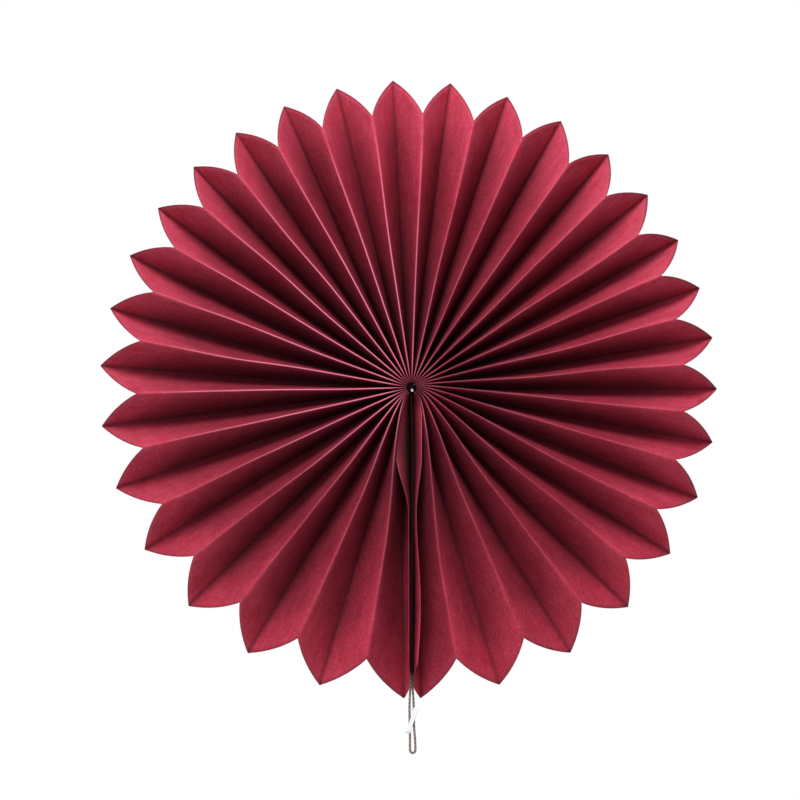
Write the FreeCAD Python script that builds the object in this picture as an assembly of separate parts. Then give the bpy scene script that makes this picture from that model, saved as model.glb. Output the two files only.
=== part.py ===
import FreeCAD, Part
import math
import os

os.makedirs("parts", exist_ok=True)
Vec = FreeCAD.Vector

# A strip of paper folded to and fro, gathered at one long edge and taped end to end.
# Millimetres and degrees. The rosette faces -Y, its seam is at 6 o'clock, and its origin
# is the middle of the hub's back, which lies against the wall.

# Pleated sheet
PETALS = 32
TIP_RADIUS = 150.0
NOTCH_RADIUS = 132.4
PETAL_BULGE = 0.07          # rise of a petal's arc over its chord, as a share of the chord
PANEL_WIDTH = 23.0          # from fold to fold, so also the hub's depth
PAPER = 0.14
HUB_HOLE_RADIUS = 2.4
FLATTEST = 0.97             # a pleat never opens quite flat
TRIM = 4.0                  # paper outside the tips before the petals are cut

# Spread of the folds round the hub: the pleats crowd at the top and open at the seam
SEAM_OPENS = 2.0             # degrees from the seam to each end fold
HALF_SPREAD = 180.0 - SEAM_OPENS
TURN = 1.8
CROWDING = ((-9.2, -1.6), (3.4, 0.7), (-0.4, 0.4))

# Pleats beside the seam sit back towards the wall
SEAM_SET_BACK = 0.7
SEAM_REACH = 6.0            # folds

# Front folds are pushed away from the seam near the hub, on the right and on the left
PUSH_RIGHT = {"reach": 3.9, "falls_off": 1.4, "rise": 2.2}
PUSH_LEFT = {"reach": 3.9, "falls_off": 8.0, "rise": 4.2}
PUSH_AT_HUB = 0.3
PUSH_FADES = 45.0
SEAM_SLACK = 0.12

# End leaves: taped to each other half way up, with front edges that flare like a lens
LEAF_BENDS = (0.28, 0.55)
LEAF_STANDS = 0.96
LENS_RIGHT = {"hub": 1.2, "lens": 5.1, "rise": 3.0, "rim": 2.4, "belly": 2.0}
LENS_LEFT = {"hub": 1.0, "lens": 7.4, "rise": 10.0, "rim": 1.5, "belly": 0.0}
LENS_CLOSES = (32.0, 60.0)
PINCH_STARTS = (3.0, 14.0)
SEAM_LEAN = 0.5

# Tape pads between the end leaves: from and to, along the seam
TAPE = 0.4
TAPE_CLEARANCE = 0.05
INNER_PAD = (0.40 * TIP_RADIUS, 0.48 * TIP_RADIUS)
OUTER_PAD = (0.80 * TIP_RADIUS, 0.88 * TIP_RADIUS)

# Radii at which the folds' places are worked out, closer together near the hub
STATIONS = 9
STATION_GROWTH = 2.2
SEWING = 1e-4

# Knot that is drawn into the hub's hole, with a short end at the front
KNOT_CLEARANCE = 0.3
KNOT_LENGTH = 12.0
KNOT_FROM_FRONT = 3.5
KNOT_END = 0.85             # radius
KNOT_ROUNDING = 0.8

# Hanging loop: a doubled cord from the knot down the seam, with a bend below the rim
CORD = 1.1
BEND_SHARE = 0.45           # of the shorter run, taken by the arc at each point
LOOP_ROUTE = (
    (0.10, -18.3, -2.15), (0.25, -18.4, -9), (0.75, -18.8, -22), (0.95, -19.1, -42),
    (0.75, -19.3, -66), (0.55, -19.3, -92), (0.30, -19.4, -117), (0.25, -19.2, -137),
    (-0.80, -18.2, -151), (-0.60, -17.2, -162), (-0.40, -17.0, -169), (-0.45, -17.0, -173),
    (-0.30, -17.0, -175.8), (2.10, -17.0, -175.8), (2.20, -17.0, -173), (2.00, -17.0, -169),
    (1.40, -17.0, -162), (1.45, -16.9, -152), (0.50, -17.0, -140), (0.60, -16.9, -117),
    (0.55, -16.8, -92), (0.60, -16.8, -66), (0.85, -16.7, -42), (0.65, -16.3, -22),
    (0.25, -16.0, -9), (0.10, -15.9, -2.15),
)

# Thread wound once about the doubled cord, from upper right to lower left
WRAP_THREAD = 1.2
WRAP_MIDDLE = (0.50, -17.05, -160.2)
WRAP_SLOPE = 68.0
WRAP_RUN = 9.2
WRAP_CLEARANCE = 0.2

LAST_FOLD = 2 * PETALS - 2
MIDDLE_FOLD = LAST_FOLD / 2
RIGHT, LEFT = 1, -1


def fold_angle(k):
    """Angle of fold k from 12 o'clock, clockwise from the front. Even folds are valleys."""
    u = (k - MIDDLE_FOLD) / MIDDLE_FOLD
    crowd = sum(a * math.sin(n * math.pi * u) + b * math.cos(n * math.pi * u)
                for n, (a, b) in enumerate(CROWDING, start=1))
    return TURN - HALF_SPREAD * u - crowd


def pitch(k):
    """Mean angle in radians between fold k and its neighbours."""
    below, above = max(k - 1, 0), min(k + 1, LAST_FOLD)
    return math.radians(fold_angle(below) - fold_angle(above)) / (above - below)


def pleat_depth(k, radius):
    spread = min(radius * pitch(k) / PANEL_WIDTH, FLATTEST)
    return PANEL_WIDTH * math.sqrt(1 - spread ** 2)


def middle_depth(k, radius):
    """Y half way between the front and back folds."""
    from_seam = min(k, LAST_FOLD - k) / SEAM_REACH
    slack = (PANEL_WIDTH - pleat_depth(k, radius)) / 2
    set_back = SEAM_SET_BACK * slack * math.exp(-from_seam ** 2)
    return set_back - (PANEL_WIDTH + PAPER) / 2


def push_aside(k, radius):
    """How far fold k stands away from its radial line, away from the seam."""
    if k in (0, LAST_FOLD):
        return SEAM_SLACK
    if k % 2 == 0:
        return 0.0
    angle = fold_angle(k)
    side = PUSH_RIGHT if angle > 0 else PUSH_LEFT
    near_seam = ((1 - math.cos(math.radians(angle))) / 2) ** side["falls_off"]
    rise = 1 - (1 - PUSH_AT_HUB) * math.exp(-(radius - HUB_HOLE_RADIUS) / side["rise"])
    return side["reach"] * near_seam * rise / (1 + (radius / PUSH_FADES) ** 4)


def fold_point(k, radius):
    angle = math.radians(fold_angle(k))
    away = -math.copysign(push_aside(k, radius), angle)
    x = radius * math.sin(angle) + away * math.cos(angle)
    z = radius * math.cos(angle) - away * math.sin(angle)
    to_back = 0.5 if k % 2 == 0 else -0.5
    return Vec(x, middle_depth(k, radius) + to_back * pleat_depth(k, radius), z)


def smooth(value, low, high):
    """0 below low, 1 above high, and a smooth step between them."""
    t = min(max((value - low) / (high - low), 0.0), 1.0)
    return t * t * (3 - 2 * t)


def edge_gap(side, radius):
    """Distance of an end leaf's front edge from the seam's axis."""
    form = LENS_RIGHT if side == RIGHT else LENS_LEFT
    opened = 1 - math.exp(-(radius - HUB_HOLE_RADIUS) / form["rise"])
    lens = form["hub"] + (form["lens"] - form["hub"]) * opened
    along = min(max((radius - LENS_CLOSES[1]) / (TIP_RADIUS - LENS_CLOSES[1]), 0.0), 1.0)
    closed = form["rim"] + form["belly"] * math.sin(math.pi * along) ** 2
    held = smooth(radius, *LENS_CLOSES)
    return lens * (1 - held) + closed * held


def seam_axis(radius):
    return SEAM_LEAN * smooth(radius, 0.0, LENS_CLOSES[1])


def leaf_point(side, share, radius):
    """Point of an end leaf at a share of its width, from its valley fold to its front edge."""
    root = fold_point(0 if side == RIGHT else LAST_FOLD, radius)
    edge = side * edge_gap(side, radius)
    if share == 1:
        bend = leaf_point(side, LEAF_BENDS[-1], radius)
        width = (1 - LEAF_BENDS[-1]) * LEAF_STANDS * PANEL_WIDTH
        return Vec(edge, bend.y - math.sqrt(width ** 2 - (edge - bend.x) ** 2), -radius)
    free = root.x + (edge - root.x) * share
    taped = seam_axis(radius) + side * (TAPE / 2 + TAPE_CLEARANCE + PAPER / 2)
    held = smooth(radius, *PINCH_STARTS)
    return Vec(free * (1 - held) + taped * held,
               root.y - share * LEAF_STANDS * PANEL_WIDTH, -radius)


def station_radii():
    """Radii from the hub's hole to outside the tips."""
    reach = TIP_RADIUS + TRIM - HUB_HOLE_RADIUS
    return [HUB_HOLE_RADIUS + reach * (i / STATIONS) ** STATION_GROWTH for i in range(STATIONS + 1)]


def strip_lines():
    """The strip's lines from its right front edge round to its left front edge: kind and points."""
    radii = station_radii()
    bends = sorted(LEAF_BENDS)
    lines = [("edge", [leaf_point(RIGHT, 1, r) for r in radii])]
    lines += [("bend", [leaf_point(RIGHT, s, r) for r in radii]) for s in reversed(bends)]
    for k in range(LAST_FOLD + 1):
        lines.append(("valley" if k % 2 == 0 else "mountain", [fold_point(k, r) for r in radii]))
    lines += [("bend", [leaf_point(LEFT, s, r) for r in radii]) for s in bends]
    lines.append(("edge", [leaf_point(LEFT, 1, r) for r in radii]))
    return lines


def tangent(points, i):
    return (points[min(i + 1, len(points) - 1)] - points[max(i - 1, 0)]).normalize()


def paper_normals(lines, j, i):
    """Front normals of the paper before and after line j, at its point i."""
    point = lines[j][1][i]
    along = tangent(lines[j][1], i)
    normals = []
    if j > 0:
        normals.append(along.cross(point - lines[j - 1][1][i]).normalize())
    if j < len(lines) - 1:
        normals.append(along.cross(lines[j + 1][1][i] - point).normalize())
    return normals[0], normals[-1]


def skin_points(lines, j):
    """Point rows of both skins along line j, one row or two for each skin.

    A fold is sharp on its inner side. Its outer side is a blunt crest, as wide as the paper needs.
    """
    kind, points = lines[j]
    half = PAPER / 2
    inner, outer = [], []
    for i, point in enumerate(points):
        before, after = paper_normals(lines, j, i)
        between = before + after
        mitre = between * (half / (1 + before.dot(after)))
        to_front = -1 if kind == "valley" else 1
        inner.append([point - mitre * to_front])
        if kind in ("edge", "bend"):
            outer.append([point + mitre])
            continue
        out = between.normalize()
        lean = math.acos(min(before.dot(out), 1.0))
        crest = half * math.tan(lean / 2)
        corners = []
        for normal in (before, after):
            aside = normal - out * normal.dot(out)
            corners.append(point + (out * half + aside.normalize() * crest) * to_front)
        outer.append(corners)
    rows = [list(zip(*outer)), list(zip(*inner))]
    return rows[::-1] if kind == "valley" else rows


def triangle(*corners):
    return Part.Face(Part.makePolygon([*corners, corners[0]]))


def band(first, second):
    """Flat triangles between two rows of points, which take up the paper's slight twist."""
    faces = []
    for i in range(len(first) - 1):
        faces.append(triangle(first[i], first[i + 1], second[i]))
        faces.append(triangle(second[i], first[i + 1], second[i + 1]))
    return faces


def strip_skins(rows):
    """Faces of both skins, of the folds' blunt crests and of the two front edges."""
    faces = []
    for here, there in zip(rows, rows[1:]):
        for a, b in zip(here, there):
            faces += band(a[-1], b[0])
    for line in rows:
        for skin in line:
            faces += band(*skin) if len(skin) == 2 else []
    for front, back in (rows[0], rows[-1]):
        faces += band(front[0], back[0])
    return faces


def strip_end(rows, i):
    """Narrow faces that close the paper at one end of its lines."""
    faces = []
    for here, there in zip(rows, rows[1:]):
        front, back = [(a[-1][i], b[0][i]) for a, b in zip(here, there)]
        faces += band(front, back)
    for front, back in rows:
        if len(front) + len(back) == 3:
            faces.append(triangle(*(row[i] for row in (*front, *back))))
    return faces


def raw_strip():
    lines = strip_lines()
    rows = [skin_points(lines, j) for j in range(len(lines))]
    shell = Part.makeCompound(strip_skins(rows) + strip_end(rows, 0) + strip_end(rows, -1))
    shell.sewShape(SEWING)
    solid = Part.Solid(shell.Shells[0])
    if solid.Volume < 0:
        solid.reverse()
    return solid


def petal_arc(tip, notch):
    """A petal's curved edge, bulging outwards over its chord."""
    middle = (tip + notch) / 2
    chord = notch - tip
    out = Vec(chord.z, 0, -chord.x).normalize()
    if out.dot(middle) < 0:
        out = out * -1
    return Part.Arc(tip, middle + out * (PETAL_BULGE * chord.Length), notch).toShape()


def outline():
    """The die that cuts all petals, as a plan of arcs extruded through the pleats."""
    ends = []
    for k in range(LAST_FOLD + 1):
        point = fold_point(k, TIP_RADIUS if k % 2 == 0 else NOTCH_RADIUS)
        ends.append(Vec(point.x, PANEL_WIDTH, point.z))
    edges = [petal_arc(a, b) for a, b in zip(ends, ends[1:])]
    edges.append(Part.makeLine(ends[-1], ends[0]))
    return Part.Face(Part.Wire(edges)).extrude(Vec(0, -3 * PANEL_WIDTH, 0))


def leaf_trim():
    """What the same cut takes off the end leaves, which stand edge on to the front."""
    root = fold_point(0, TIP_RADIUS)
    edge = leaf_point(RIGHT, 1, NOTCH_RADIUS)
    below = -TIP_RADIUS - 2 * TRIM
    tip, notch = Vec(0, root.y, -TIP_RADIUS), Vec(0, edge.y, edge.z)
    past_back, past_front = root.y + PANEL_WIDTH, edge.y - PANEL_WIDTH
    chord = notch - tip
    arc = Part.Arc(tip, (tip + notch) / 2 + Vec(0, -chord.z, chord.y) * PETAL_BULGE, notch)
    rest = Part.makePolygon([notch, Vec(0, past_front, edge.z), Vec(0, past_front, below),
                             Vec(0, past_back, below), Vec(0, past_back, tip.z), tip])
    profile = Part.Face(Part.Wire([arc.toShape()] + rest.Edges))
    slab = profile.extrude(Vec(2 * TIP_RADIUS, 0, 0)).translated(Vec(-TIP_RADIUS, 0, 0))
    corners = [fold_point(k, r) for k, r in ((0, NOTCH_RADIUS), (0, -below), (LAST_FOLD, -below),
                                             (LAST_FOLD, NOTCH_RADIUS))]
    corners = [Vec(c.x, PANEL_WIDTH, c.z) for c in corners]
    wedge = Part.Face(Part.makePolygon(corners + corners[:1])).extrude(Vec(0, -3 * PANEL_WIDTH, 0))
    return slab.common(wedge)


def pleated_sheet():
    return raw_strip().common(outline()).cut(leaf_trim()).Solids[0]


def hub_knot():
    """A barrel that the hub's hole grips, with a short end that shows as a dot in the front."""
    barrel = HUB_HOLE_RADIUS - KNOT_CLEARANCE
    front = KNOT_FROM_FRONT - PANEL_WIDTH
    body = Part.makeCylinder(barrel, KNOT_LENGTH, Vec(0, front, 0), Vec(0, 1, 0))
    body = body.makeFillet(KNOT_ROUNDING, body.Edges)
    end = Part.makeSphere(KNOT_END, Vec(0, front - KNOT_END / 2, 0))
    return body.fuse(end).removeSplitter()


def bend_radius(before, at, after):
    turn = (at - before).getAngle(after - at)
    return BEND_SHARE * min((at - before).Length, (after - at).Length) / math.tan(turn / 2)


def route_wire(points):
    """Straight runs joined by tangent arcs, each as large as its two runs allow."""
    edges, start = [], points[0]
    for before, at, after in zip(points, points[1:], points[2:]):
        radius = bend_radius(before, at, after)
        back, on = (before - at).normalize(), (after - at).normalize()
        reach = BEND_SHARE * min((at - before).Length, (after - at).Length)
        enter, leave = at + back * reach, at + on * reach
        to_middle = (back + on).normalize()
        middle = at + to_middle * (math.hypot(radius, reach) - radius)
        edges += [Part.makeLine(start, enter), Part.Arc(enter, middle, leave).toShape()]
        start = leave
    return Part.Wire(edges + [Part.makeLine(start, points[-1])])


def tube(wire, diameter):
    first = wire.OrderedEdges[0]
    along = first.tangentAt(first.FirstParameter)
    ring = Part.Wire(Part.makeCircle(diameter / 2, first.valueAt(first.FirstParameter), along))
    return wire.makePipeShell([ring], True, True)


def hanging_loop():
    points = [Vec(*p) for p in LOOP_ROUTE]
    wire = route_wire(points)
    radii = [bend_radius(*three) for three in zip(points, points[1:], points[2:])]
    loop = tube(wire, CORD)
    section = math.pi * CORD ** 2 / 4
    print("loop length", round(wire.Length, 1), "bend radii", [round(r, 1) for r in radii])
    print("loop volume", round(loop.Volume, 2), "section times length", round(section * wire.Length, 2))
    return loop


def loop_wrap():
    """One slanting turn: a straight run in front, one behind, and round ends beside the cord."""
    slope = math.radians(WRAP_SLOPE)
    middle = Vec(*WRAP_MIDDLE)
    up = Vec(math.cos(slope), 0, math.sin(slope))
    radius = (CORD + WRAP_THREAD) / 2 + WRAP_CLEARANCE
    front, end = Vec(0, -radius, 0), up * (WRAP_RUN / 2)
    top, bottom = middle + end, middle - end
    wire = Part.Wire([
        Part.makeLine(bottom + front, top + front),
        Part.Arc(top + front, top + up * radius, top - front).toShape(),
        Part.makeLine(top - front, bottom - front),
        Part.Arc(bottom - front, bottom - up * radius, bottom + front).toShape(),
    ])
    return tube(wire, WRAP_THREAD)


def tape_pad(start, stop):
    """Double-sided tape between the end leaves, from one bend of the leaves to the other."""
    radius = (start + stop) / 2
    low, high = [leaf_point(RIGHT, share, radius) for share in LEAF_BENDS]
    corner = Vec(seam_axis(radius) - TAPE / 2, high.y, -stop)
    return Part.makeBox(TAPE, low.y - high.y, stop - start, corner)


def parts():
    return {
        "pleated_sheet": pleated_sheet(),
        "hub_knot": hub_knot(),
        "hanging_loop": hanging_loop(),
        "loop_wrap": loop_wrap(),
        "inner_tape_pad": tape_pad(*INNER_PAD),
        "outer_tape_pad": tape_pad(*OUTER_PAD),
    }


for name, shape in parts().items():
    shape.exportStep("parts/" + name + ".step")
    print(name, len(shape.Solids), "solid", round(shape.Volume, 1), shape.isValid())
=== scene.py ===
import math

import bpy
import numpy as np
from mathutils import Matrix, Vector


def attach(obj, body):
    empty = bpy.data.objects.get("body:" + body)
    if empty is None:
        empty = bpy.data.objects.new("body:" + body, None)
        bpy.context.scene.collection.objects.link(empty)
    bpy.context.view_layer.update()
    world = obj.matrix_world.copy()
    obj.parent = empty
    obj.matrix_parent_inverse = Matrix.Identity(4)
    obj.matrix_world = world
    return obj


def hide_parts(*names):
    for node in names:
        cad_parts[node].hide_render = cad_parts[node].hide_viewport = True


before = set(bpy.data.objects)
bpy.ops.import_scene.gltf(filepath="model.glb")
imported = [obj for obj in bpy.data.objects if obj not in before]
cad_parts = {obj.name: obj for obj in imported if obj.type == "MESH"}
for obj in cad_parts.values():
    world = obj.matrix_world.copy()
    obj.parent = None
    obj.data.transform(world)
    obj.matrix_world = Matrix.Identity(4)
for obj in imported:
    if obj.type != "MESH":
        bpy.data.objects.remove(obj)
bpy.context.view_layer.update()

# Lengths below are in millimetres until MM turns them into the scene's metres
MM = 0.001
rng = np.random.RandomState(7)

# Pleated sheet, as in the part's source except for the clearance at the tape
PETALS = 32
TIP_RADIUS = 150.0
NOTCH_RADIUS = 132.4
PETAL_BULGE = 0.07
PANEL_WIDTH = 23.0
PAPER = 0.14
HUB_HOLE_RADIUS = 2.4
FLATTEST = 0.97
SEAM_OPENS = 2.0
HALF_SPREAD = 180.0 - SEAM_OPENS
TURN = 1.8
CROWDING = ((-9.2, -1.6), (3.4, 0.7), (-0.4, 0.4))
SEAM_SET_BACK = 0.7
SEAM_REACH = 6.0
PUSH_RIGHT = {"reach": 3.9, "falls_off": 1.4, "rise": 2.2}
PUSH_LEFT = {"reach": 3.9, "falls_off": 8.0, "rise": 4.2}
PUSH_AT_HUB = 0.3
PUSH_FADES = 45.0
SEAM_SLACK = 0.12
LEAF_BENDS = (0.28, 0.55)
LEAF_STANDS = 0.96
LENS_RIGHT = {"hub": 1.2, "lens": 5.1, "rise": 3.0, "rim": 2.4, "belly": 2.0}
LENS_LEFT = {"hub": 1.0, "lens": 7.4, "rise": 10.0, "rim": 1.5, "belly": 0.0}
LENS_CLOSES = (32.0, 60.0)
SEAM_LEAN = 0.5
TAPE = 0.4
TAPE_CLEARANCE = 0.01

LAST_FOLD = 2 * PETALS - 2
MIDDLE_FOLD = LAST_FOLD / 2
RIGHT, LEFT = 1, -1

# For each fold the counts and starts of a slow and a quick wave, and for each panel its bow
UNEVEN = rng.uniform((0.5, 1.6, 0.0, 0.0), (1.1, 2.6, 1.0, 1.0), (LAST_FOLD + 1, 4))
BOWED = rng.uniform(-1.0, 1.0, LAST_FOLD)

# Past the outer tape the end leaves run straight from their folds to the cord
RIM_LOOSENS = (128.0, 140.0)

# Where no tape parts them, the end leaves rest against each other and lean to one side
LEAVES_TOUCH = 0.03
TOUCH_ENDS = (57.2, 60.2)
LEANS_AGAIN = (72.0, 76.0)
LEAN_ENDS = (115.0, 120.0)
LEAN_BETWEEN = -0.6
LEAF_FLARES = 1.5

# The last valley fold drifts towards the seam on its way to the rim
RIM_DRIFT = 2.6
DRIFT_FROM = 70.0

# Fineness of the paper's mesh: shares of a panel's width, and rows that crowd at the hub
ACROSS = np.array([0.0, 0.02, 0.07, 0.17, 0.31, 0.46, 0.60, 0.74, 0.85, 0.93, 0.98])
ALONG = 60
ROWS_CROWD = 1.25
ARC_STEPS = 101

# A front fold isn't pressed flat: its paper stands apart by this much and closes further in
CREST_HALF_WIDTH = 0.27
CREST_SHARE = 0.3
CREST_CLOSES = 7.0

# Hand-made unevenness in millimetres: front folds wander sideways, panels bow
WANDER = 0.55
WANDER_QUICK = 0.35
WANDER_EASES = 1.3
BOW = 0.9
BOW_GROWS = 1.5

# Softness of the folds as shares of a panel's width, at the hub and at the rim
CREST_SOFT = (0.012, 0.06)
CREASE_SOFT = (0.002, 0.006)

# Camera: a long lens, slightly left of and below the hub's axis, with the middle of the
# circle through the petal tips at the photo's place in pixels
IMAGE = 800
MM_PER_PIXEL = 0.4855
CIRCLE_CENTRE = (408.95, 389.0)
CAMERA_LEFT = 3.0
CAMERA_BELOW = 1.75
CAMERA_DISTANCE = 2600.0
CLIP_END_M = 20.0
SENSOR = 36.0

# Knot in the hub's hole, wound from thread round a core, with a spiral on its front
KNOT_FROM_FRONT = 3.5
KNOT_RADIUS = 2.1
KNOT_TURNS = 20
KNOT_STEPS = 20
KNOT_CORE = 10.0
KNOT_SWELLS = 0.33
WOUND_THREAD = 0.55
SPIRAL_POINTS = 40
SPIRAL_FROM = 0.2
SPIRAL_ANGLES = (-5 * math.pi, -0.5)

# Cut end of the thread: points with depths from the knot's front, and its radius
THREAD_END = ((0.5, 1.5, -0.9), (0.5, 0.3, -1.0), (0.5, -0.5, -1.15), (0.45, -1.0, -1.35))
THREAD_END_RADIUS = 0.6

# Hanging loop
CORD = 1.1
LOOP_ROUTE = (
    (0.10, -18.3, -2.15), (0.25, -18.4, -9), (0.75, -18.8, -22), (0.95, -19.1, -42),
    (0.75, -19.3, -66), (0.55, -19.3, -92), (0.30, -19.4, -117), (0.25, -19.2, -137),
    (-0.80, -18.2, -151), (-0.60, -17.2, -162), (-0.40, -17.0, -169), (-0.45, -17.0, -173),
    (-0.30, -17.0, -175.8), (2.10, -17.0, -175.8), (2.20, -17.0, -173), (2.00, -17.0, -169),
    (1.40, -17.0, -162), (1.45, -16.9, -152), (0.50, -17.0, -140), (0.60, -16.9, -117),
    (0.55, -16.8, -92), (0.60, -16.8, -66), (0.85, -16.7, -42), (0.65, -16.3, -22),
    (0.25, -16.0, -9), (0.10, -15.9, -2.15),
)

# Thread wound slanting about the loop, as two strands side by side
WRAP_THREAD = 1.2
WRAP_STRAND = 0.45
WRAP_MIDDLE = (0.50, -17.05, -160.2)
WRAP_SLOPE = 72.0
WRAP_RUN = 9.4
WRAP_CLEARANCE = 0.2
WRAP_STEPS = 16

# Ramps run from 0 to 1, so places in metres are raised by this before they are read
PLACE_RAISED = 0.5

# Noises of the materials: scale, detail and roughness
NOISES = {
    "clouds": (90.0, 10.0, 0.8),
    "fibres": (1100.0, 2.0, 0.5),
    "blotches": (130.0, 8.0, 0.75),
    "streaks": (9.0, 6.0, 0.7),
    "tooth": (1500.0, 4.0, 0.6),
    "cockle": (70.0, 3.0, 0.6),
    "fluff": (2600.0, 3.0, 0.6),
    "film": (300.0, 3.0, 0.6),
}
STREAKS_DRAWN_OUT = 0.9
COCKLE_SHARE = 4.0

# Ramps of the paper, each a row of places with a grey or a colour. Their places are a noise,
# the share of a panel from its valley fold, the share of the way from hub to rim, or a raised
# place sideways or upwards, as paper_material says.
CLOUDY = ((0.32, (0.27, 0.012, 0.031)), (0.68, (0.43, 0.028, 0.058)))
PALE = ((0.0, (0.62, 0.10, 0.17)), (1.0, (0.70, 0.14, 0.22)))
REDDER = ((0.0, (0.36, 0.006, 0.020)), (1.0, (0.44, 0.010, 0.026)))
BARE_AND_HIGHLIT = ((0.0, (0.68, 0.14, 0.24)), (1.0, (0.80, 0.23, 0.35)))
SPECKS = ((0.50, 0.0), (0.72, 0.30))
# Painted highlight: the dye paler towards the rim, most towards the top
PAINTED_LIGHT_RIM = ((0.72, 0.0), (0.98, 0.22))
PAINTED_LIGHT_TOP = ((0.37, 0.25), (0.55, 1.0))
BLOTCHES = ((0.50, 0.0), (0.62, 0.45))
BLOTCHED_RIM = ((0.84, 0.0), (0.95, 1.0))
# Painted shade by radius: darkest at the hub, slightly lighter than the dye at the rim
PAINTED_SHADE_BY_REACH = ((0.0, 0.22), (0.06, 0.46), (0.13, (0.60, 0.62, 0.62)), (0.27, (0.48, 0.62, 0.58)),
         (0.45, (0.57, 0.72, 0.68)), (0.64, (0.72, 0.80, 0.78)), (0.82, 0.90), (0.94, 1.10))
# Painted shade towards the sides, inside the outer rim
PAINTED_SIDE_SHADE = ((0.45, 0.70), (0.485, 1.0), (0.515, 1.0), (0.55, 0.80))
PAINTED_SIDE_SHADE_WITHIN = ((0.80, 1.0), (0.95, 0.55))
STREAKED = ((0.34, 0.85), (0.66, 1.11))
# Painted shade across a panel: dark towards the crease, lighter than the dye at the crest
PAINTED_HOLLOW_SHADE = ((0.0, 0.60), (0.35, 0.74), (0.75, 0.97), (1.0, 1.12))
PAINTED_HOLLOW_SHADE_WITHIN = ((0.84, 1.0), (0.98, 0.15))
# Pale front folds: partly worn, partly a painted highlight strongest on the upper left
RIDGE = ((0.970, 0.0), (0.990, 0.85))
RIDGE_HIGHLIGHT_LEFT = ((0.49, 1.0), (0.515, 0.15))
RIDGE_WITHIN = ((0.02, 0.1), (0.14, 0.95), (0.55, 0.95), (0.84, 0.5), (0.94, 0.0))
RIDGE_HIGHLIGHT_UPPER = ((0.455, 0.12), (0.493, 1.0))
NEAR_HUB = ((0.25, 1.0), (0.45, 0.0))
# Painted shade on the front folds near the hub, below it and to its right
NEAR_HUB_SHADE = ((0.455, 0.60), (0.492, 1.0))
NEAR_HUB_UPPER = ((0.482, 0.0), (0.497, 1.0))
NEAR_HUB_PAINTED_SHADE_RIGHT = ((0.500, 1.0), (0.510, 0.60))
# Painted shade along the creases
CREASE = ((0.0, 0.30), (0.02, 0.62), (0.10, 1.0))
RIM = ((0.991, 0.0), (0.997, 1.0))
RIM_SHADE = ((0.42, 0.95), (0.60, 0.50))

# Painted shade of the two panels beside the seam, and of the end leaves' inner faces
BESIDE_SEAM = 0.70
LENS_DARKEST = 0.08
LENS_BRIGHTENS = 1.05
LENS_LIT = (0.70, 1.0)
LENS_LEFT_SHADE = 0.62

# Yarns: the dark and the light of their plies
YARNS = {
    "brown_cord": ((0.055, 0.042, 0.037), (0.30, 0.25, 0.22)),
    "white_thread": ((0.84, 0.82, 0.88), (0.93, 0.92, 0.95)),
    # The winding in the hub's hole is painted near black, as painted shade
    "winding_painted_shade": ((0.015, 0.004, 0.006), (0.035, 0.008, 0.012)),
    # The cut end is painted pale, as a painted highlight
    "end_painted_highlight": ((0.45, 0.44, 0.45), (0.85, 0.84, 0.86)),
}
TWIST = {"Scale": 330.0, "Distortion": 3.0, "Detail": 2.0}
TWIST_SHARE, FLUFF_SHARE = 0.25, 0.75
PLIES = (0.32, 0.62)

# Raised heights between which the cord darkens on its way into the seam, as painted shade
SEAM_SHADE = (0.352, 0.363)
CORD_IN_SEAM = (0.06, 0.02, 0.02)

# Surfaces: roughness, specular level, strength of the bumps and their height in metres
PAPER_SURFACE = (0.62, 0.2, 0.35, 0.0002)
YARN_SURFACE = (0.9, 0.05, 0.6, 0.0003)
TAPE_SURFACE = (0.25, 0.5, 0.2, 0.0002)

# Painted colour of the tape pads' clear film, by its noise: the paper's red behind it and the
# shade between the leaves
TAPE_PAINTED_SHADE = ((0.3, (0.14, 0.05, 0.045)), (0.7, (0.20, 0.08, 0.07)))

# Light: strength of the ambient white, and lamps by place and size in metres and by watts
AMBIENT = 0.28
LAMPS = {
    "key": ((-0.07, -0.56, 0.68), 0.34, 8.5),
    "fill": ((-0.6, -1.5, 0.15), 0.8, 9.0),
    "back": ((0.5, 1.1, 0.7), 0.5, 8.0),
}
FLOOR_RADIUS_M = 0.8
FLOOR_HEIGHT_M = -0.45

# Sockets of a colour mix node, which share their names with those of its other types
MIX_FIRST, MIX_SECOND, MIX_RESULT = 6, 7, 2


def linked_object(name, data):
    made = bpy.data.objects.new(name, data)
    bpy.context.collection.objects.link(made)
    return made


def make_camera():
    az, el = math.radians(CAMERA_LEFT), math.radians(CAMERA_BELOW)
    outward = Vector((-math.sin(az) * math.cos(el), -math.cos(az) * math.cos(el), -math.sin(el)))
    right = Vector((0, 0, 1)).cross(outward).normalized()
    up = outward.cross(right)
    aside = (IMAGE / 2 - CIRCLE_CENTRE[0]) * MM_PER_PIXEL
    above = (CIRCLE_CENTRE[1] - IMAGE / 2) * MM_PER_PIXEL
    target = (right * aside + up * above) * MM
    data = bpy.data.cameras.new("camera")
    data.sensor_width = SENSOR
    data.lens = SENSOR * CAMERA_DISTANCE / (IMAGE * MM_PER_PIXEL)
    data.clip_end = CLIP_END_M
    camera = linked_object("camera", data)
    camera.location = target + outward * CAMERA_DISTANCE * MM
    camera.rotation_euler = outward.to_track_quat("Z", "Y").to_euler()
    bpy.context.scene.camera = camera


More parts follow.
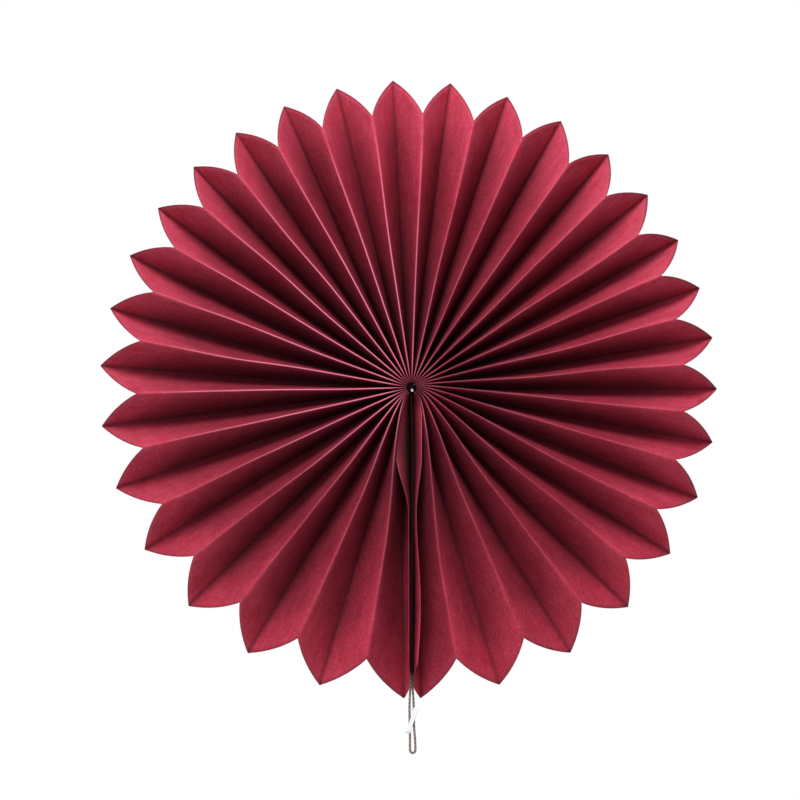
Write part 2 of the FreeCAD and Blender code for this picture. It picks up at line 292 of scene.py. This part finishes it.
def nurbs(name, routes, radius, cyclic=False, steps=12, sides=5):
    """Round cords on smooth splines, one for each route of points in millimetres."""
    data = bpy.data.curves.new(name, "CURVE")
    data.dimensions = "3D"
    for points in routes:
        spline = data.splines.new("NURBS")
        spline.points.add(len(points) - 1)
        for at, point in zip(spline.points, points):
            at.co = (*(c * MM for c in point), 1.0)
        spline.use_cyclic_u = cyclic
        spline.order_u = 3
        spline.use_endpoint_u = not cyclic
    data.resolution_u = steps
    data.bevel_depth = radius * MM
    data.bevel_resolution = sides
    data.use_fill_caps = not cyclic
    return linked_object(name, data)


def smooth(value, low, high):
    t = np.clip((value - low) / (high - low), 0.0, 1.0)
    return t * t * (3 - 2 * t)


def reach_of(radius):
    """Share of the way from the hub's hole to the petal tips."""
    return (radius - HUB_HOLE_RADIUS) / (TIP_RADIUS - HUB_HOLE_RADIUS)


def fold_angle(k):
    """Clock angle of fold k in degrees, even folds at the back and odd ones at the front."""
    u = (k - MIDDLE_FOLD) / MIDDLE_FOLD
    crowd = sum(a * math.sin(n * math.pi * u) + b * math.cos(n * math.pi * u)
                for n, (a, b) in enumerate(CROWDING, start=1))
    return TURN - HALF_SPREAD * u - crowd


def pitch(k):
    below, above = max(k - 1, 0), min(k + 1, LAST_FOLD)
    return math.radians(fold_angle(below) - fold_angle(above)) / (above - below)


def pleat_depth(k, radius):
    spread = np.minimum(radius * pitch(k) / PANEL_WIDTH, FLATTEST)
    return PANEL_WIDTH * np.sqrt(1 - spread ** 2)


def middle_depth(k, radius):
    from_seam = min(k, LAST_FOLD - k) / SEAM_REACH
    slack = (PANEL_WIDTH - pleat_depth(k, radius)) / 2
    return SEAM_SET_BACK * slack * math.exp(-from_seam ** 2) - (PANEL_WIDTH + PAPER) / 2


def push_aside(k, radius):
    """How far the seam's leaves push fold k away from 6 o'clock."""
    if k in (0, LAST_FOLD):
        drift = RIM_DRIFT * smooth(radius, DRIFT_FROM, TIP_RADIUS) if k == LAST_FOLD else 0.0
        return np.full_like(radius, SEAM_SLACK) - drift
    if k % 2 == 0:
        return np.zeros_like(radius)
    angle = fold_angle(k)
    side = PUSH_RIGHT if angle > 0 else PUSH_LEFT
    near_seam = ((1 - math.cos(math.radians(angle))) / 2) ** side["falls_off"]
    rise = 1 - (1 - PUSH_AT_HUB) * np.exp(-(radius - HUB_HOLE_RADIUS) / side["rise"])
    return side["reach"] * near_seam * rise / (1 + (radius / PUSH_FADES) ** 4)


def wander(k, radius):
    """How far a front fold strays sideways, nothing at the hub and little at the rim."""
    if k % 2 == 0:
        return np.zeros_like(radius)
    reach = reach_of(radius)
    slow, quick, slow_start, quick_start = UNEVEN[k]
    wave = (np.sin(2 * math.pi * (slow * reach + slow_start))
            + WANDER_QUICK * np.sin(2 * math.pi * (quick * reach + quick_start)))
    return WANDER * wave * np.sin(math.pi * np.clip(reach, 0, 1) ** WANDER_EASES)


def fold_line(k, radius):
    """Points of fold k at an array of radii."""
    angle = math.radians(fold_angle(k))
    away = -math.copysign(1.0, angle) * push_aside(k, radius) + wander(k, radius)
    x = radius * math.sin(angle) + away * math.cos(angle)
    z = radius * math.cos(angle) - away * math.sin(angle)
    to_back = 0.5 if k % 2 == 0 else -0.5
    return np.stack([x, middle_depth(k, radius) + to_back * pleat_depth(k, radius), z], axis=-1)


def edge_gap(side, radius):
    """Distance of an end leaf's front edge from the middle of the seam."""
    form = LENS_RIGHT if side == RIGHT else LENS_LEFT
    opened = 1 - np.exp(-(radius - HUB_HOLE_RADIUS) / form["rise"])
    lens = form["hub"] + (form["lens"] - form["hub"]) * opened
    along = np.clip((radius - LENS_CLOSES[1]) / (TIP_RADIUS - LENS_CLOSES[1]), 0.0, 1.0)
    closed = form["rim"] + form["belly"] * np.sin(math.pi * along) ** 2
    held = smooth(radius, *LENS_CLOSES)
    return lens * (1 - held) + closed * held


def leaf_line(side, share, radius):
    """Points of an end leaf at a share of its width from the valley fold."""
    low, high = LEAF_BENDS
    root = fold_line(0 if side == RIGHT else LAST_FOLD, radius)
    edge = side * edge_gap(side, radius)
    between = min(max((share - low) / (high - low), 0.0), 1.0)
    parted = smooth(radius, *TOUCH_ENDS)
    untaped = (1 - parted) + smooth(radius, *LEANS_AGAIN) * (1 - smooth(radius, *LEAN_ENDS))
    axis = (SEAM_LEAN * smooth(radius, 0.0, LENS_CLOSES[1])
            + LEAN_BETWEEN * untaped * (0.5 - between))
    apart = LEAVES_TOUCH + (TAPE / 2 + TAPE_CLEARANCE - LEAVES_TOUCH) * parted
    taped = axis + side * (apart + PAPER / 2)
    if share < high:
        pressed = math.sin(math.pi / 2 * min(share / low, 1.0))
        loose = smooth(radius, *RIM_LOOSENS)
        held = pressed * (1 - loose) + share / high * loose
        pinched = root[:, 0] + (taped - root[:, 0]) * held
    else:
        flare = max((share - high) / (1 - high), 0.0) ** LEAF_FLARES
        pinched = taped + (edge - taped) * flare
    outer = max(share - high, 0.0) * LEAF_STANDS * PANEL_WIDTH
    sideways = np.minimum(np.abs(pinched - taped), outer)
    stands = min(share, high) * LEAF_STANDS * PANEL_WIDTH
    depth = root[:, 1] - stands - np.sqrt(outer ** 2 - sideways ** 2)
    return np.stack([pinched, depth, -radius], axis=-1)


def petal_arc(tip, notch):
    """Points of a petal's edge from its tip to its notch, bulging away from the hub."""
    chord = notch - tip
    out = np.array([chord[1], -chord[0]])
    if out @ tip < 0:
        out = -out
    steps = np.linspace(0.0, 1.0, ARC_STEPS)[:, None]
    return tip + chord * steps + out * (4 * PETAL_BULGE * steps * (1 - steps))


def cut_radius(tip, notch, share):
    """Distance from the hub at which the petal's arc crosses a share of the panel."""
    arc = petal_arc(tip, notch)
    ends = np.stack([tip, notch]) / np.array([[np.hypot(*tip)], [np.hypot(*notch)]])
    ray = ends[0] + (ends[1] - ends[0]) * share
    side = arc[:, 0] * ray[1] - arc[:, 1] * ray[0]
    order = np.argsort(side)
    return np.interp(0.0, side[order], np.hypot(*arc.T)[order])


def soft_fold(distance, softness):
    """Share of a panel's rise at a share of its width from a rounded fold."""
    top = np.sqrt(distance ** 2 + softness ** 2) - softness
    return top / (np.sqrt(1 + softness ** 2) - softness)


def along_radii(outer):
    """Radii of one mesh column, closer together near the hub."""
    steps = np.linspace(0.0, 1.0, ALONG) ** ROWS_CROWD
    return HUB_HOLE_RADIUS + (outer - HUB_HOLE_RADIUS) * steps


def panel_columns(k):
    """Mesh columns of the panel between folds k and k + 1."""
    valley, mountain = (k, k + 1) if k % 2 == 0 else (k + 1, k)
    tip = fold_line(valley, np.array([TIP_RADIUS]))[0, ::2]
    notch = fold_line(mountain, np.array([NOTCH_RADIUS]))[0, ::2]
    middle = math.radians(fold_angle(mountain))
    across_front = np.array([math.cos(middle), -math.sin(middle)])
    across_front *= 1 if valley < mountain else -1
    columns = []
    for share in ACROSS:
        up = share if k % 2 == 0 else 1 - share
        radius = along_radii(cut_radius(tip, notch, up))
        low, high = fold_line(valley, radius), fold_line(mountain, radius)
        reach = reach_of(radius)
        crest = CREST_SOFT[0] + (CREST_SOFT[1] - CREST_SOFT[0]) * reach
        crease = CREASE_SOFT[0] + (CREASE_SOFT[1] - CREASE_SOFT[0]) * reach
        rise = soft_fold(1 - soft_fold(1 - up, crest), crease)
        column = low + (high - low) * up
        out = (1 - up) * PANEL_WIDTH
        loose = np.minimum(CREST_HALF_WIDTH, CREST_SHARE * pitch(k) * radius)
        opened = (1 - np.exp(-out / CREST_HALF_WIDTH)) * math.exp(-out / CREST_CLOSES)
        column[:, ::2] += np.outer(loose * opened * (1 - reach), across_front)
        bow = BOW * BOWED[k] * math.sin(math.pi * up) * np.clip(reach, 0, 1) ** BOW_GROWS
        column[:, 1] = low[:, 1] + (high[:, 1] - low[:, 1]) * rise + bow
        columns.append(column)
    return columns


def leaf_columns(side, shares):
    """Mesh columns of an end leaf, cut along the petal's arc of the unfolded leaf."""
    stands = PANEL_WIDTH * LEAF_STANDS
    arc = petal_arc(np.array([0.0, TIP_RADIUS]), np.array([stands, NOTCH_RADIUS]))
    outer = np.interp(shares * stands, arc[:, 0], arc[:, 1])
    return [leaf_line(side, share, along_radii(cut)) for share, cut in zip(shares, outer)]


def paper_grid():
    """The whole strip as columns, from the right front edge round to the left front edge."""
    grid = leaf_columns(RIGHT, 1 - ACROSS)
    across = [1 - ACROSS]
    for k in range(LAST_FOLD):
        grid += panel_columns(k)
        across.append(ACROSS if k % 2 == 0 else 1 - ACROSS)
    grid += leaf_columns(LEFT, np.append(ACROSS, 1.0))
    across.append(np.append(ACROSS, 1.0))
    return np.array(grid), np.concatenate(across)


def two_skins(grid):
    """Vertices and faces of a closed sheet of the paper's thickness about a grid of points."""
    along = np.gradient(grid, axis=1)
    across = np.gradient(grid, axis=0)
    normals = np.cross(along, across)
    normals /= np.linalg.norm(normals, axis=2, keepdims=True)
    front = grid + normals * PAPER / 2
    back = grid - normals * PAPER / 2
    n, m = grid.shape[:2]
    index = np.arange(n * m).reshape(n, m)
    corners = [index[:-1, :-1], index[:-1, 1:], index[1:, 1:], index[1:, :-1]]
    quads = np.stack(corners, axis=-1).reshape(-1, 4)
    border = np.concatenate([index[:-1, 0], index[-1, :-1], index[:0:-1, -1], index[0, :0:-1]])
    following = np.roll(border, -1)
    rim = np.stack([border, following, following + n * m, border + n * m], axis=-1)
    vertices = np.concatenate([front.reshape(-1, 3), back.reshape(-1, 3)])
    return vertices, np.concatenate([quads, quads[:, ::-1] + n * m, rim])


def mesh_object(name, vertices, faces):
    data = bpy.data.meshes.new(name)
    data.from_pydata((vertices * MM).tolist(), [], faces.tolist())
    data.validate()
    data.polygons.foreach_set("use_smooth", [True] * len(data.polygons))
    return linked_object(name, data)


def node_material(name):
    """A new material, its nodes, its shader and the object's own coordinates."""
    material = bpy.data.materials.new(name)
    material.use_nodes = True
    tree = material.node_tree
    coords = tree.nodes.new("ShaderNodeTexCoord").outputs["Object"]
    return material, tree, tree.nodes["Principled BSDF"], coords


def noise(tree, coords, name):
    node = tree.nodes.new("ShaderNodeTexNoise")
    for socket, value in zip(("Scale", "Detail", "Roughness"), NOISES[name]):
        node.inputs[socket].default_value = value
    tree.links.new(coords, node.inputs["Vector"])
    return node.outputs["Fac"]


def ramp(tree, value, stops):
    """Colours by value, from stops of a place with a grey or a colour."""
    node = tree.nodes.new("ShaderNodeValToRGB")
    while len(node.color_ramp.elements) < len(stops):
        node.color_ramp.elements.new(0.5)
    for element, (place, colour) in zip(node.color_ramp.elements, stops):
        element.position = place
        element.color = (*(colour if isinstance(colour, tuple) else (colour,) * 3), 1.0)
    tree.links.new(value, node.inputs["Fac"])
    return node.outputs["Color"]


def mix(tree, factor, first, second, kind="MIX"):
    node = tree.nodes.new("ShaderNodeMix")
    node.data_type = "RGBA"
    node.blend_type = kind
    if isinstance(factor, float):
        node.inputs["Factor"].default_value = factor
    else:
        tree.links.new(factor, node.inputs["Factor"])
    tree.links.new(first, node.inputs[MIX_FIRST])
    tree.links.new(second, node.inputs[MIX_SECOND])
    return node.outputs[MIX_RESULT]


def multiply(tree, first, second):
    return mix(tree, 1.0, first, second, "MULTIPLY")


def shaded(tree, where, colour, shade):
    """A colour multiplied by a shade as far as a mask says."""
    return mix(tree, where, colour, multiply(tree, colour, shade))


def attribute(tree, name):
    node = tree.nodes.new("ShaderNodeAttribute")
    node.attribute_name = name
    return node.outputs["Fac"]


def maths(tree, operation, first, second):
    node = tree.nodes.new("ShaderNodeMath")
    node.operation = operation
    for socket, value in zip(node.inputs, (first, second)):
        if isinstance(value, (int, float)):
            socket.default_value = value
        else:
            tree.links.new(value, socket)
    return node.outputs[0]


def raised(tree, coords, axes):
    """Places along the named axes, raised into a ramp's range."""
    parts = tree.nodes.new("ShaderNodeSeparateXYZ")
    tree.links.new(coords, parts.inputs[0])
    return [maths(tree, "ADD", parts.outputs[axis], PLACE_RAISED) for axis in axes]


def finish_shader(tree, shader, colour, height, surface):
    """Give a shader its colour, its gloss and its bumps."""
    roughness, specular, strength, distance = surface
    shader.inputs["Roughness"].default_value = roughness
    shader.inputs["Specular IOR Level"].default_value = specular
    bump = tree.nodes.new("ShaderNodeBump")
    bump.inputs["Strength"].default_value = strength
    bump.inputs["Distance"].default_value = distance
    tree.links.new(height, bump.inputs["Height"])
    tree.links.new(bump.outputs["Normal"], shader.inputs["Normal"])
    tree.links.new(colour, shader.inputs["Base Color"])


def streaks(tree, across, reach):
    """Noise drawn out along the folds, different in each panel."""
    spot = tree.nodes.new("ShaderNodeCombineXYZ")
    drawn_out = maths(tree, "MULTIPLY", reach, STREAKS_DRAWN_OUT)
    for socket, value in zip(spot.inputs, (across, drawn_out, attribute(tree, "panel"))):
        tree.links.new(value, socket)
    return noise(tree, spot.outputs[0], "streaks")


def paper_material():
    """Dyed paper: cloudy colour, short pale fibres, painted shade in the creases, and paler
    ridges, partly worn and partly a painted highlight.
    """
    material, tree, shader, coords = node_material("burgundy_paper")
    across, reach = attribute(tree, "across"), attribute(tree, "reach")
    sideways, upwards = raised(tree, coords, "XZ")
    clouds, fibres, blotches, tooth, cockle = (
        noise(tree, coords, name) for name in ("clouds", "fibres", "blotches", "tooth", "cockle"))

    # Cloudy dye with pale fibres, paler towards the upper rim as a painted highlight, and redder
    # in blotches
    pale = ramp(tree, clouds, PALE)
    colour = mix(tree, ramp(tree, fibres, SPECKS), ramp(tree, clouds, CLOUDY), pale)
    painted_light = multiply(tree, ramp(tree, reach, PAINTED_LIGHT_RIM), ramp(tree, upwards, PAINTED_LIGHT_TOP))
    colour = mix(tree, painted_light, colour, pale)
    blotched = multiply(tree, ramp(tree, blotches, BLOTCHES), ramp(tree, reach, BLOTCHED_RIM))
    colour = mix(tree, blotched, colour, ramp(tree, clouds, REDDER))

    # Painted shade: darker towards the hub, on the panels beside the seam and inside the lens, to
    # the sides, and across the panels towards the creases; random streaks along the panels
    colour = multiply(tree, colour, ramp(tree, reach, PAINTED_SHADE_BY_REACH))
    colour = multiply(tree, colour, attribute(tree, "painted_shade"))
    colour = shaded(tree, ramp(tree, reach, PAINTED_SIDE_SHADE_WITHIN), colour, ramp(tree, sideways, PAINTED_SIDE_SHADE))
    colour = multiply(tree, colour, ramp(tree, streaks(tree, across, reach), STREAKED))
    colour = shaded(tree, ramp(tree, reach, PAINTED_HOLLOW_SHADE_WITHIN), colour, ramp(tree, across, PAINTED_HOLLOW_SHADE))

    # Front folds paler, partly worn and partly a painted highlight strongest on the upper left,
    # and dulled again below and right of the hub by painted shade
    ridge = ramp(tree, across, RIDGE)
    lined = multiply(tree, ramp(tree, reach, RIDGE_WITHIN), ramp(tree, upwards, RIDGE_HIGHLIGHT_UPPER))
    worn_and_highlit = multiply(tree, ridge, ramp(tree, sideways, RIDGE_HIGHLIGHT_LEFT))
    colour = mix(tree, multiply(tree, worn_and_highlit, lined), colour, ramp(tree, clouds, BARE_AND_HIGHLIT))
    near_hub = multiply(tree, ridge, ramp(tree, reach, NEAR_HUB))
    colour = shaded(tree, near_hub, colour, ramp(tree, upwards, NEAR_HUB_SHADE))
    near_hub = multiply(tree, near_hub, ramp(tree, upwards, NEAR_HUB_UPPER))
    colour = shaded(tree, near_hub, colour, ramp(tree, sideways, NEAR_HUB_PAINTED_SHADE_RIGHT))

    # Painted shade along the creases, and a dark line along the cut edge, darker towards the top
    colour = multiply(tree, colour, ramp(tree, across, CREASE))
    colour = shaded(tree, ramp(tree, reach, RIM), colour, ramp(tree, upwards, RIM_SHADE))

    height = maths(tree, "ADD", maths(tree, "MULTIPLY", cockle, COCKLE_SHARE), tooth)
    finish_shader(tree, shader, colour, height, PAPER_SURFACE)
    return material


def thread_material(name, in_seam=1.0):
    """Twisted yarn: slanting plies, fluff between them, and painted shade where it runs inside
    the seam.
    """
    material, tree, shader, coords = node_material(name)
    twist = tree.nodes.new("ShaderNodeTexWave")
    twist.bands_direction = "DIAGONAL"
    for socket, value in TWIST.items():
        twist.inputs[socket].default_value = value
    tree.links.new(coords, twist.inputs["Vector"])
    fluff = noise(tree, coords, "fluff")
    plies = maths(tree, "ADD", maths(tree, "MULTIPLY", twist.outputs["Fac"], TWIST_SHARE),
                  maths(tree, "MULTIPLY", fluff, FLUFF_SHARE))
    height, = raised(tree, coords, "Z")
    shade = ramp(tree, height, tuple(zip(SEAM_SHADE, (1.0, in_seam))))
    colour = multiply(tree, ramp(tree, plies, tuple(zip(PLIES, YARNS[name]))), shade)
    finish_shader(tree, shader, colour, plies, YARN_SURFACE)
    return material


def point_values(piece, name, values):
    """Numbers on the mesh's points that its material can read."""
    layer = piece.data.attributes.new(name, "FLOAT", "POINT")
    layer.data.foreach_set("value", np.asarray(values, dtype=float).ravel())


def inner_tone(across, rows):
    """Painted shade of the back skin, which the light hardly reaches between the end leaves."""
    painted_shade = np.ones((len(across), rows))
    right, left = slice(0, len(ACROSS)), slice(len(across) - len(ACROSS) - 1, len(across))
    for leaf in (right, left):
        painted_shade[leaf] = (LENS_DARKEST + LENS_BRIGHTENS * smooth(across[leaf], *LENS_LIT))[:, None]
    painted_shade[left] *= LENS_LEFT_SHADE
    return painted_shade.ravel()


def make_paper():
    grid, across = paper_grid()
    vertices, faces = two_skins(grid)
    piece = mesh_object("pleated_paper", vertices, faces)
    columns, rows = grid.shape[:2]
    panel = np.minimum(np.arange(columns) // len(ACROSS), LAST_FOLD + 1)
    # Painted shade on the front skins of the two panels beside the seam
    outer_tone = np.repeat(np.where(np.isin(panel, (1, LAST_FOLD)), BESIDE_SEAM, 1.0), rows)
    point_values(piece, "across", np.tile(np.repeat(across, rows), 2))
    point_values(piece, "panel", np.tile(np.repeat(panel, rows), 2))
    point_values(piece, "reach", np.tile(np.linspace(0.0, 1.0, rows), 2 * columns))
    point_values(piece, "painted_shade", np.concatenate([outer_tone, inner_tone(across, rows)]))
    piece.data.materials.append(paper_material())
    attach(piece, "root")
    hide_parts("pleated_sheet")


def make_cord():
    loop = nurbs("doubled_cord", [LOOP_ROUTE], CORD / 2)
    loop.data.materials.append(thread_material("brown_cord", CORD_IN_SEAM))
    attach(loop, "root")
    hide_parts("hanging_loop")
    wrap = make_wrap()


def make_wrap():
    slope = math.radians(WRAP_SLOPE)
    middle, up = Vector(WRAP_MIDDLE), Vector((math.cos(slope), 0, math.sin(slope)))
    radius = (CORD + WRAP_THREAD) / 2 + WRAP_CLEARANCE
    strand = WRAP_STRAND * WRAP_THREAD
    front = Vector((0, -radius, 0))
    aside = Vector((-up.z, 0, up.x)) * strand
    routes = []
    for beside in (-aside, aside):
        points = []
        for turn in np.linspace(0, 2 * math.pi, WRAP_STEPS, endpoint=False):
            along = math.copysign(WRAP_RUN / 2, math.cos(turn)) + radius * math.cos(turn)
            points.append(middle + beside + up * along + front * math.sin(turn))
        routes.append(points)
    wrap = nurbs("thread_wrap", routes, strand, cyclic=True)
    wrap.data.materials.append(thread_material("white_thread"))
    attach(wrap, "root")
    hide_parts("loop_wrap")
    return wrap


def make_knot():
    """Thread wound about a core in the hub's hole, painted near black as painted shade, with a
    cut end at its front painted pale as a painted highlight.
    """
    front = KNOT_FROM_FRONT - PANEL_WIDTH
    first = front + WOUND_THREAD / 2
    outer = KNOT_RADIUS - WOUND_THREAD / 2
    spiral = zip(np.linspace(SPIRAL_FROM, outer - WOUND_THREAD, SPIRAL_POINTS),
                 np.linspace(*SPIRAL_ANGLES, SPIRAL_POINTS))
    points = [(p * math.cos(t), first, p * math.sin(t)) for p, t in spiral]
    for i in range(KNOT_TURNS * KNOT_STEPS + 1):
        angle = 2 * math.pi * i / KNOT_STEPS
        depth = first + i / KNOT_STEPS * WOUND_THREAD
        radius = outer + KNOT_SWELLS * i / (KNOT_TURNS * KNOT_STEPS)
        points.append((radius * math.cos(angle), depth, radius * math.sin(angle)))
    winding = nurbs("hub_winding", [points], WOUND_THREAD / 2, steps=3, sides=2)
    winding.data.materials.append(thread_material("winding_painted_shade"))
    end = nurbs("hub_thread_end", [[(x, front + y, z) for x, y, z in THREAD_END]],
                THREAD_END_RADIUS)
    end.data.materials.append(thread_material("end_painted_highlight"))
    bpy.ops.mesh.primitive_cylinder_add(
        vertices=32, radius=outer * MM, depth=KNOT_CORE * MM,
        location=(0, (first + KNOT_CORE / 2) * MM, 0), rotation=(math.pi / 2, 0, 0))
    core = bpy.context.object
    core.name = "hub_winding_core"
    core.data.materials.append(winding.data.materials[0])
    for piece, finish in ((winding, "brown_cord"), (core, "brown_cord"), (end, "white_thread")):
        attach(piece, "root")
        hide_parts("hub_knot")


def finish_tape():
    """The tape pads stay as the frame's solids; their clear film is painted dark red-brown, with
    the paper's red behind it and the shade between the leaves painted into its colour.
    """
    material, tree, shader, coords = node_material("clear_tape")
    film = noise(tree, coords, "film")
    finish_shader(tree, shader, ramp(tree, film, TAPE_PAINTED_SHADE), film, TAPE_SURFACE)
    for name in ("inner_tape_pad", "outer_tape_pad"):
        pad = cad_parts[name]
        pad.data.materials.clear()
        pad.data.materials.append(material)


def world_light():
    """Plain white where the camera sees it, and a dimmer white that lights the object."""
    world = bpy.data.worlds.new("studio")
    bpy.context.scene.world = world
    world.use_nodes = True
    tree = world.node_tree
    tree.nodes.clear()
    path = tree.nodes.new("ShaderNodeLightPath")
    seen = path.outputs["Is Camera Ray"]
    for extra in ("Is Glossy Ray", "Is Transmission Ray"):
        seen = maths(tree, "MAXIMUM", seen, path.outputs[extra])
    choose = tree.nodes.new("ShaderNodeMixShader")
    tree.links.new(seen, choose.inputs[0])
    for socket, strength in zip(choose.inputs[1:], (AMBIENT, 1.0)):
        white = tree.nodes.new("ShaderNodeBackground")
        white.inputs["Color"].default_value = (1, 1, 1, 1)
        white.inputs["Strength"].default_value = strength
        tree.links.new(white.outputs[0], socket)
    out = tree.nodes.new("ShaderNodeOutputWorld")
    tree.links.new(choose.outputs[0], out.inputs["Surface"])


def area_lamp(name, place, size, watts):
    """A round lamp that faces the origin."""
    data = bpy.data.lights.new(name, "AREA")
    data.shape = "DISK"
    data.size = size
    data.energy = watts
    lamp = linked_object(name, data)
    lamp.location = place
    lamp.rotation_euler = Vector(place).to_track_quat("Z", "Y").to_euler()


def make_floor():
    bpy.ops.mesh.primitive_circle_add(vertices=96, radius=FLOOR_RADIUS_M, fill_type="NGON",
                                      location=(0, 0, FLOOR_HEIGHT_M))
    floor = bpy.context.object
    floor.name = "floor"
    material, _, shader, _ = node_material("pale_floor")
    shader.inputs["Base Color"].default_value = (0.85, 0.85, 0.85, 1)
    shader.inputs["Roughness"].default_value = 0.9
    floor.data.materials.append(material)


make_camera()
make_cord()
make_paper()
make_knot()
finish_tape()
world_light()
for lamp_name, settings in LAMPS.items():
    area_lamp(lamp_name, *settings)
make_floor()
bpy.context.scene.view_settings.view_transform = "Standard"
